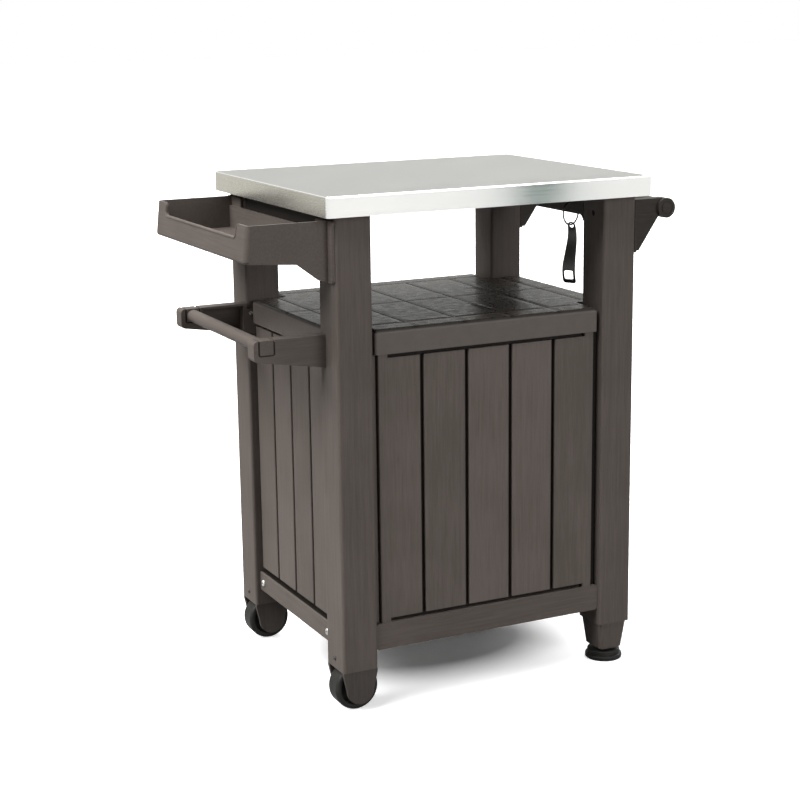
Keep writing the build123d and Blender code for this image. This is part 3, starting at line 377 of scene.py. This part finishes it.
low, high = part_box("front_panel")
pitch = (high.x - low.x - 2 * PLANK_INSET[0]) / FRONT_PLANKS
front_planks = moulded_resin("polypropylene_front_planks", "Z", ("X", low.x + PLANK_INSET[0], pitch),
                             grooves("Y", low.y, 1), FRONT_TONES)
dress(front_planks, "front_panel", edge=THIN_EDGE)
low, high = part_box("left_panel")
pitch = (high.y - low.y - 2 * PLANK_INSET[1]) / SIDE_PLANKS
side_boards = ("Y", low.y + PLANK_INSET[1], pitch)
left_planks = moulded_resin("polypropylene_left_planks", "Z", side_boards, grooves("X", low.x, 1))
dress(left_planks, "left_panel", edge=THIN_EDGE)
low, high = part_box("right_panel")
right_planks = moulded_resin("polypropylene_right_planks", "Z", side_boards, grooves("X", high.x, -1))
dress(right_planks, "right_panel", edge=THIN_EDGE)
dress(lengthwise_resin, "floor_panel")

# Counter: one resin moulding with a rolled edge and a tiled face that is a little glossier than the rest.
# Each tile is slightly crowned, has a slate-like ripple and takes its own tone.
TILE = (0.094, 0.188)
TILE_TONES = ("332f2b", "4c4641")
TILE_SHINE = 0.27
TILE_MOTTLE = (0.3, 1.6)
TILE_FIBRE = (0.0016, 0.03)
TILE_FIBRE_BUMP = (0.2, 0.0003)
RIPPLE_SIZE = 0.016
RIPPLE_BUMP = (0.18, 0.001)
# From half a joint's width the tile rises to its crown, and grime fades over the wear beside the joint.
JOINT = 0.0015
JOINT_WEAR = 0.004
JOINT_DEPTH = (0.0004, 0.0016)
CROWN = 0.012
CROWN_BUMP = (0.8, 0.0015)
# How far a surface faces up where the tiled face begins, and where the painted shade on the rolled edge does.
FACE_UP = (0.6, 0.95)
SHADED_ROLL_UP = (0.25, 0.6)
GLAZED = (0.20, 0.40)
SIDE_ROUGHNESS = 0.55
low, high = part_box("counter")
body_x = (low.x + high.x) / 2
# The satin face mirrors the light in broken, wavy patches. Its joints look nearly black, and its rolled edge
# is painted nearly black as shade.
tiled_resin, tree, shader, where = new_finish("polypropylene_tiled_satin", IOR=RESIN_IOR,
                                              Specular_IOR_Level=TILE_SHINE)
place = where["Object"]
counted = add(tree, "Mapping", [("Vector", place)], Location=(0.5 - body_x / TILE[0], 0, 0),
              Scale=(1 / TILE[0], 1 / TILE[1], 0))[0]
number = add(tree, "VectorMath", [(0, counted)], operation="FLOOR")[0]
own = add(tree, "TexWhiteNoise", [("Vector", number)])[0]
ripple = add(tree, "TexNoise", [("Vector", place)], Scale=1 / RIPPLE_SIZE, Detail=5.0, Roughness=0.6)[0]
fibre = streaks(tree, place, TILE_FIBRE, "X")
mottle = add(tree, "Math", [(0, ripple), (1, own)], operation="ADD")[0]
share = add(tree, "MapRange", [("Value", mottle)], From_Min=TILE_MOTTLE[0], From_Max=TILE_MOTTLE[1])[0]
tile_tone = add(tree, "MixRGB", [("Fac", share)], Color1=linear(TILE_TONES[0]),
                Color2=linear(TILE_TONES[1]))[0]
height = add(tree, "SeparateXYZ", [("Vector", place)])["Z"]
sunk = add(tree, "MapRange", [("Value", height)], From_Min=high.z - JOINT_DEPTH[0],
           From_Max=high.z - JOINT_DEPTH[1])[0]
tile_tone = add(tree, "MixRGB", [("Fac", sunk), ("Color1", tile_tone)], Color2=linear(SHADE_AND_GRIME))[0]
cells = add(tree, "SeparateXYZ", [("Vector", counted)])
to_lines = []
for axis, size in zip("XY", TILE):
    from_line = add(tree, "Math", [(0, cells[axis])], [(1, 0.5)], operation="PINGPONG")[0]
    to_lines.append(add(tree, "Math", [(0, from_line)], [(1, size)], operation="MULTIPLY")[0])
to_joint = add(tree, "Math", enumerate(to_lines), operation="MINIMUM")[0]
worn = add(tree, "MapRange", [("Value", to_joint)], From_Min=JOINT, From_Max=JOINT_WEAR)[0]
tile_tone = add(tree, "MixRGB", [("Fac", worn), ("Color2", tile_tone)], Color1=linear(SHADE_AND_GRIME))[0]
upward = add(tree, "SeparateXYZ", [("Vector", where["Normal"])])["Z"]
on_top = add(tree, "MapRange", [("Value", upward)], From_Min=FACE_UP[0], From_Max=FACE_UP[1])[0]
shaded_roll = add(tree, "MapRange", [("Value", upward)], From_Min=SHADED_ROLL_UP[0], From_Max=SHADED_ROLL_UP[1])[0]
side_tone = add(tree, "MixRGB", [("Fac", ripple)], Color1=linear(RESIN_DARK), Color2=linear(RESIN))[0]
# Painted shade: where the rolled edge turns partly upwards, its colour goes nearly black.
side_tone = add(tree, "MixRGB", [("Fac", shaded_roll), ("Color1", side_tone)], Color2=linear(SHADE_AND_GRIME))[0]
tone = add(tree, "MixRGB", [("Fac", on_top), ("Color1", side_tone), ("Color2", tile_tone)])[0]
tree.links.new(tone, shader.inputs["Base Color"])
glazed = add(tree, "MapRange", [("Value", ripple)], From_Min=MID_NOISE[0], From_Max=MID_NOISE[1],
             To_Min=GLAZED[0], To_Max=GLAZED[1])[0]
matt = add(tree, "MapRange", [("Value", on_top), ("To Max", glazed)], To_Min=SIDE_ROUGHNESS)[0]
tree.links.new(matt, shader.inputs["Roughness"])
crown = add(tree, "MapRange", [("Value", to_joint)], From_Min=JOINT, From_Max=CROWN,
            interpolation_type="SMOOTHSTEP")[0]
crown = add(tree, "Math", [(0, crown), (1, on_top)], operation="MULTIPLY")[0]
domed = add(tree, "Bump", [("Height", crown)], Strength=CROWN_BUMP[0], Distance=CROWN_BUMP[1])[0]
waved = add(tree, "Bump", [("Height", ripple), ("Normal", domed)], Strength=RIPPLE_BUMP[0],
            Distance=RIPPLE_BUMP[1])[0]
fibrous = add(tree, "Bump", [("Height", fibre), ("Normal", waved)], Strength=TILE_FIBRE_BUMP[0],
              Distance=TILE_FIBRE_BUMP[1])[0]
tree.links.new(fibrous, shader.inputs["Normal"])
dress(tiled_resin, "counter")

# Doors: two plank leaves of the panels' resin on round pins at the back, with a finger notch where they meet
# and a stop behind them that hangs from the counter.
DOOR_PLANKS = 3
for leaf in ("left_door", "right_door"):
    low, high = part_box(leaf)
    boards = ("X", low.x, (high.x - low.x) / DOOR_PLANKS)
    # Painted shade darkens the grooves between each leaf's planks.
    leaf_resin = moulded_resin("polypropylene_" + leaf, "Z", boards, grooves("Y", high.y, -1))
    dress(leaf_resin, leaf, edge=THIN_EDGE)
dress(upright_resin, "door_stop", edge=THIN_EDGE)

# Beams and deck: channel beams join the posts' heads at the two ends, and a ribbed deck fills the worktop
# from below. Both are plain resin mouldings, painted nearly black as shade, their grain across the cart.
BEAM_SHADE_TONES = ("2b2826", "35312e")
beam_shade_resin = moulded_resin("polypropylene_shade_black_crosswise", "Y", tones=BEAM_SHADE_TONES)
dress(beam_shade_resin, "left_apron", "right_apron", "top_deck")

# Worktop: a pan folded from stainless sheet, its lower edge hemmed inwards. The sheet is brushed along its
# length, so its lines lie along the top and along the skirts and draw the reflections out across them.
STEEL_TONES = ("e2e2df", "f3f3f0")
# Real brush lines are about a tenth as wide. They are drawn this wide so that they show.
BRUSH = (0.0009, 0.300)
BRUSH_BUMP = (0.03, 0.0001)
HANDLED_SIZE = 0.09
TOP_UP = (0.5, 0.9)
STEEL_WEAR = (0.6, 1.4)
STEEL_ROUGHNESS = (0.10, 0.17)
END_ROUGHNESS = 0.14
# The sheet's thickness, the corner's radius inside it, and half the hem's width and height.
SHEET = 0.0012
HEM_CORNER = 0.0058
HEM = (0.0013, 0.0022)
# Polished enough to mirror its surroundings softly, and duller on the two end skirts.
brushed, tree, shader, where = new_finish("stainless_brushed", Metallic=1.0)
place = where["Object"]
along_top = streaks(tree, place, BRUSH, "X")
along_skirt = streaks(tree, place, BRUSH, "XY")
facing = add(tree, "SeparateXYZ", [("Vector", where["Normal"])])
on_top = add(tree, "MapRange", [("Value", facing["Z"])], From_Min=TOP_UP[0], From_Max=TOP_UP[1])[0]
on_end = add(tree, "Math", [(0, facing["X"])], operation="ABSOLUTE")[0]
lines = add(tree, "Mix", [("Factor", on_top), ("A", along_skirt), ("B", along_top)])[0]
handled = add(tree, "TexNoise", [("Vector", place)], Scale=1 / HANDLED_SIZE, Detail=3.0)[0]
tone = add(tree, "MixRGB", [("Fac", lines)], Color1=linear(STEEL_TONES[0]), Color2=linear(STEEL_TONES[1]))[0]
tree.links.new(tone, shader.inputs["Base Color"])
worn = add(tree, "Math", [(0, lines), (1, handled)], operation="ADD")[0]
matt = add(tree, "MapRange", [("Value", worn)], From_Min=STEEL_WEAR[0], From_Max=STEEL_WEAR[1],
           To_Min=STEEL_ROUGHNESS[0], To_Max=STEEL_ROUGHNESS[1])[0]
matt = add(tree, "Math", [(0, on_end), (2, matt)], [(1, END_ROUGHNESS)], operation="MULTIPLY_ADD")[0]
tree.links.new(matt, shader.inputs["Roughness"])
lined = add(tree, "Bump", [("Height", lines)], Strength=BRUSH_BUMP[0], Distance=BRUSH_BUMP[1])[0]
tree.links.new(lined, shader.inputs["Normal"])
dress(brushed, "steel_top")


def rounded_rectangle(low, high, radius, steps=10):
    """Points round a rectangle with round corners, and the way out at each: four quarter circles in turn,
    the straight runs between them being the gaps from one to the next."""
    turn = np.linspace(0, np.pi / 2, steps)
    turns = np.concatenate([turn + k * np.pi / 2 for k in range(4)])
    corner = np.array([[high[0], high[1]], [low[0], high[1]], [low[0], low[1]], [high[0], low[1]]])
    inset = np.array([[-1, -1], [1, -1], [1, 1], [-1, 1]]) * radius
    middles = np.repeat(corner + inset, steps, axis=0)
    out = np.stack([np.cos(turns), np.sin(turns)], axis=1)
    return middles + radius * out, out


def hem_bead(low, high):
    """An ellipse carried round the inside of the skirt, from the sheet inwards and from its lower edge up."""
    path, out = rounded_rectangle(low[:2] + SHEET, high[:2] - SHEET, HEM_CORNER)
    turn = np.linspace(0, 2 * np.pi, 16, endpoint=False)
    inwards = HEM[0] * (1 + np.cos(turn))
    upwards = HEM[1] * (1 + np.sin(turn))
    bead = np.empty((1, len(turn), len(path), 3))
    bead[0, :, :, :2] = path[None] - inwards[:, None, None] * out[None]
    bead[0, :, :, 2] = low[2] + upwards[:, None]
    return bead


hem = hem_bead(*(np.array(corner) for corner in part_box("steel_top")))
skin("worktop_hem", hem, brushed, "base", loops=(True, True))

# Tray: one resin moulding that hangs on the left posts by two flanges, screwed from inside the posts. Its
# outer wall leans, and its lip is scooped out between two ears and finished with a rounded bead.
TRAY_EDGE = 0.0018
# Half the scoop's length, its depth and the bend of its corners.
SCOOP = (0.174, 0.024, 0.009)
# The wall leans in by 7 mm over its 62 mm. The bead lies this far in from the tray's outermost line, and its
# half width and half height follow.
WALL_LEAN = 7 / 62
LIP_IN = 0.0060
BEAD = (0.0036, 0.0028)
dress(crosswise_resin, "spice_tray", edge=TRAY_EDGE)


def lip_line(top):
    """The lip seen square on, as places across and up: a quarter circle over the ear, one into the scoop, a
    level run along its floor, and the same on the other side."""
    half, deep, bend = SCOOP
    over = np.linspace(np.pi / 2, 0, 12)
    back = over[::-1]
    ear = np.stack([-half - bend + bend * np.cos(over), top - bend + bend * np.sin(over)], axis=1)
    dip = np.stack([-half + bend - bend * np.cos(back), top - deep + bend - bend * np.sin(back)], axis=1)
    run = np.linspace(-half + bend, half - bend, 24)[1:-1]
    level = np.stack([run, np.full_like(run, top - deep)], axis=1)
    side = np.concatenate([ear, dip])
    return np.concatenate([side, level, (side * (-1, 1))[::-1]])


def lip_bead(low, high):
    """An ellipse carried along the lip's line, square to it, on a wall that leans in as it rises. From either
    end its size grows as the root of the way gone, so that it starts from a point."""
    deep, bend = SCOOP[1:]
    line = lip_line(high.z)
    along = np.gradient(line, axis=0)
    along = along / np.linalg.norm(along, axis=1, keepdims=True)
    gone = np.concatenate([[0], np.cumsum(np.linalg.norm(np.diff(line, axis=0), axis=1))])
    size = np.sqrt(np.clip(np.minimum(gone, gone[-1] - gone) / bend, 0, 1))[:, None]
    turn = np.linspace(0, 2 * np.pi, 20, endpoint=False)
    leaning = WALL_LEAN * (line[:, 1:] - (high.z - deep))
    bead = np.empty((1, len(line), len(turn), 3))
    bead[0, :, :, 0] = low.x + LIP_IN + leaning + BEAD[0] * size * np.cos(turn)
    bead[0, :, :, 1] = line[:, :1] - along[:, 1:] * BEAD[1] * size * np.sin(turn)
    bead[0, :, :, 2] = line[:, 1:] + along[:, :1] * BEAD[1] * size * np.sin(turn)
    return bead


skin("tray_lip_bead", lip_bead(*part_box("spice_tray")), crosswise_resin, "base")
dress(zinc, "bracket_screws")

# Towel holder: two hollow arms hooked behind the left posts, each held by a screw, and a round bar whose
# square ends drop into slots at the arms' tips. All are resin, with a painted shadow line round each end in
# its slot. The shadow line's width at the rim of a square end, and the part of it that is darkest.
CLIP_SHADOW = 0.0026
CLIP_SHADOW_FULL = 0.6 * CLIP_SHADOW
dress(lengthwise_resin, "front_towel_arm", "back_towel_arm", edge=THICK_EDGE)
bar_resin = moulded_resin("polypropylene_towel_bar", "Y")
low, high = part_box("towel_bar")
reach = (high.x - low.x) / 2
tree = bar_resin.node_tree
shade = tree.nodes["Principled BSDF"].inputs["Base Color"]
where = add(tree, "SeparateXYZ", [("Vector", add(tree, "TexCoord")["Object"])])
from_mid = add(tree, "Math", [(0, where["X"])], [(1, (low.x + high.x) / 2)], operation="SUBTRACT")[0]
from_mid = add(tree, "Math", [(0, from_mid)], operation="ABSOLUTE")[0]
# Painted shadow: the bar darkens in a thin line round each square end, where it sits in its slot.
at_side = add(tree, "MapRange", [("Value", from_mid)], From_Min=reach - CLIP_SHADOW,
              From_Max=reach - CLIP_SHADOW_FULL)[0]
at_foot = add(tree, "MapRange", [("Value", where["Z"])], From_Min=low.z + CLIP_SHADOW,
              From_Max=low.z + CLIP_SHADOW_FULL)[0]
slot_shadow = add(tree, "Math", [(0, at_side), (1, at_foot)], operation="MAXIMUM")[0]
plain = shade.links[0].from_socket
lined = add(tree, "MixRGB", [("Fac", slot_shadow), ("Color1", plain)], Color2=linear(SHADE_AND_GRIME))[0]
tree.links.new(lined, shade)
dress(bar_resin, "towel_bar", edge=THIN_EDGE)
dress(zinc, "arm_screws")

# Handle: two gusseted brackets on the right posts with a round boss each, and a tube that ends in their
# sockets. All three take darker tones than the posts.
HANDLE_TONES = ("37332f", "443f3b")
bracket_resin = moulded_resin("polypropylene_dark_lengthwise", "X", tones=HANDLE_TONES)
dress(bracket_resin, "front_handle_bracket", "back_handle_bracket", edge=THICK_EDGE)
dress(moulded_resin("polypropylene_dark_crosswise", "Y", tones=HANDLE_TONES), "handle_bar")

# Bottle opener: a strap pressed from steel sheet, blued dark with a satin face, hung on a ring of dark steel
# wire that passes through a hole in the right beam.
OPENER_TONES = ("474745", "656562")
OPENER_ROUGHNESS = (0.36, 0.5)
OPENER_METAL = 0.85
OPENER_EDGE = 0.0006
# Real satin lines are finer. They are drawn this wide so that they show.
SATIN = (0.0007, 0.05)
# Satin steel spreads its glints along the strap, and the blueing keeps them dim.
opener_steel, tree, shader, where = new_finish("steel_satin_dark", Metallic=OPENER_METAL)
lines = streaks(tree, where["Object"], SATIN, "Z")
two_toned(tree, shader, lines, OPENER_TONES, OPENER_ROUGHNESS)
dress(opener_steel, "bottle_opener", edge=OPENER_EDGE)
dress(dark_steel, "opener_ring")

# Studio: a pale floor that runs to a white background and is brighter away from the cart, so that the shadow
# stays under it. A broad key light comes from the upper left, a low fill from the front and a light from the
# back right. The steel mirrors three flats that nothing else sees: grey, beige and a narrow sea-grey one.
FLOOR_HALF = 30.0
# How pale the floor is to the eye, in a mirror, and to the light that it throws back.
FLOOR_SEEN = 0.95
FLOOR_MIRRORED = 0.5
FLOOR_BOUNCE = 0.14
# The shadow keeps its depth inside an ellipse under the cart and fades into the glow round it.
FLOOR_GLOW = 0.6
SHADE_HALF = (0.30, 0.165)
SHADE_FADE = (0.58, 1.1)
SURROUND = 0.06
WHITE = (1, 1, 1, 1)


def backdrop(name, corners, paint):
    """A four-cornered sheet of the studio in a new paint, no piece of the cart. Gives tree and sheet."""
    mesh = bpy.data.meshes.new(name)
    mesh.from_pydata(corners, [], [(0, 1, 2, 3)])
    mesh.materials.append(bpy.data.materials.new(paint))
    sheet = placed(name, mesh)
    return bare_tree(mesh.materials[0]), sheet


corners = FLOOR_HALF * np.array([[-1, -1, 0], [1, -1, 0], [1, 1, 0], [-1, 1, 0]])
tree = backdrop("floor", corners.tolist(), "pale_floor")[0]
ray = add(tree, "LightPath")
mirrored = add(tree, "Math", [(0, ray["Is Glossy Ray"]), (1, ray["Is Transmission Ray"])],
               operation="MAXIMUM")[0]
level = add(tree, "MapRange", [("Value", mirrored)], To_Min=FLOOR_BOUNCE, To_Max=FLOOR_MIRRORED)[0]
level = add(tree, "MapRange", [("Value", ray["Is Camera Ray"]), ("To Min", level)], To_Max=FLOOR_SEEN)[0]
paper = add(tree, "BsdfDiffuse", [("Color", level)])[0]
under = add(tree, "Mapping", [("Vector", add(tree, "TexCoord")["Object"])],
            Location=(-body_x / SHADE_HALF[0], 0, 0), Scale=(1 / SHADE_HALF[0], 1 / SHADE_HALF[1], 0))[0]
away = add(tree, "VectorMath", [(0, under)], operation="LENGTH")["Value"]
lit = add(tree, "MapRange", [("Value", away)], From_Min=SHADE_FADE[0], From_Max=SHADE_FADE[1],
          To_Max=FLOOR_GLOW)[0]
lit = add(tree, "Math", [(0, lit), (1, ray["Is Camera Ray"])], operation="MULTIPLY")[0]
glow = add(tree, "Emission", [("Strength", lit)], Color=WHITE)[0]
add(tree, "OutputMaterial", [("Surface", add(tree, "AddShader", [(0, paper), (1, glow)])[0])])


def flat(name, across, y, height, colour):
    """An upright glowing sheet that only mirror rays meet, from the floor up: between two x, at one y."""
    left, right = across
    corners = [(left, y, 0.0), (right, y, 0.0), (right, y, height), (left, y, height)]
    tree, sheet = backdrop(name, corners, name)
    for sight in ("camera", "diffuse", "transmission", "shadow", "volume_scatter"):
        setattr(sheet, "visible_" + sight, False)
    light = add(tree, "Emission", Color=linear(colour), Strength=1.0)[0]
    add(tree, "OutputMaterial", [("Surface", light)])


flat("grey_flat", (0.1, 4.2), 3.5, 4.0, "c6c6c3")
flat("beige_flat", (-3.0, -0.5), 2.2, 1.3, "c8c5ba")
flat("sea_grey_flat", (1.35, 1.53), -2.5, 1.2, "2f5a52")

world = bpy.data.worlds.new("surround")
bpy.context.scene.world = world
tree = bare_tree(world)
ray = add(tree, "LightPath")
seen = add(tree, "Math", [(0, ray["Is Camera Ray"]), (1, ray["Is Glossy Ray"])], operation="MAXIMUM")[0]
seen = add(tree, "Math", [(0, seen), (1, ray["Is Transmission Ray"])], operation="MAXIMUM")[0]
level = add(tree, "MapRange", [("Value", seen)], To_Min=SURROUND, To_Max=1.0)[0]
surround = add(tree, "Background", [("Strength", level)], Color=WHITE)[0]
add(tree, "OutputWorld", [("Surface", surround)])


def lamp(name, towards, energy, spread):
    """A sun lamp that shines along a direction. Its spread, an angle, softens the shadows."""
    light = bpy.data.lights.new(name, "SUN")
    light.energy = energy
    light.angle = spread
    holder = placed(name, light)
    holder.rotation_mode = "QUATERNION"
    holder.rotation_quaternion = Vector(towards).to_track_quat("-Z", "Y")


lamp("key", (0.62, -0.04, -0.78), 5.3, 0.9)
lamp("front_fill", (-0.30, 0.92, -0.25), 1.2, 0.5)
lamp("back_light", (-0.50, -0.60, -0.62), 3.0, 0.8)

# Camera: stands where the photograph was taken from, in front of the cart and to its left, a little above
# the worktop. It has that picture's turn, tilt, roll and lens, and the angles are in degrees.
CAMERA_PLACE = (body_x - 1.468, -2.874, 1.219)
YAW, PITCH, ROLL = np.radians([26.09, 12.88, 0.74])
LENS = 80.3
SENSOR = 36
ahead = np.array([np.sin(YAW) * np.cos(PITCH), np.cos(YAW) * np.cos(PITCH), -np.sin(PITCH)])
right = np.array([np.cos(YAW), -np.sin(YAW), 0])
down = np.cross(ahead, right)
rolled_right = np.cos(ROLL) * right + np.sin(ROLL) * down
rolled_down = np.cos(ROLL) * down - np.sin(ROLL) * right
turn = np.eye(4)
turn[:3, :3] = np.column_stack([rolled_right, -rolled_down, -ahead])
turn[:3, 3] = CAMERA_PLACE
camera = bpy.data.cameras.new("camera")
camera.lens = LENS
camera.sensor_width = SENSOR
camera_object = placed("camera", camera)
camera_object.matrix_world = Matrix(turn.tolist())
bpy.context.scene.camera = camera_object
bpy.context.scene.view_settings.view_transform = "Standard"
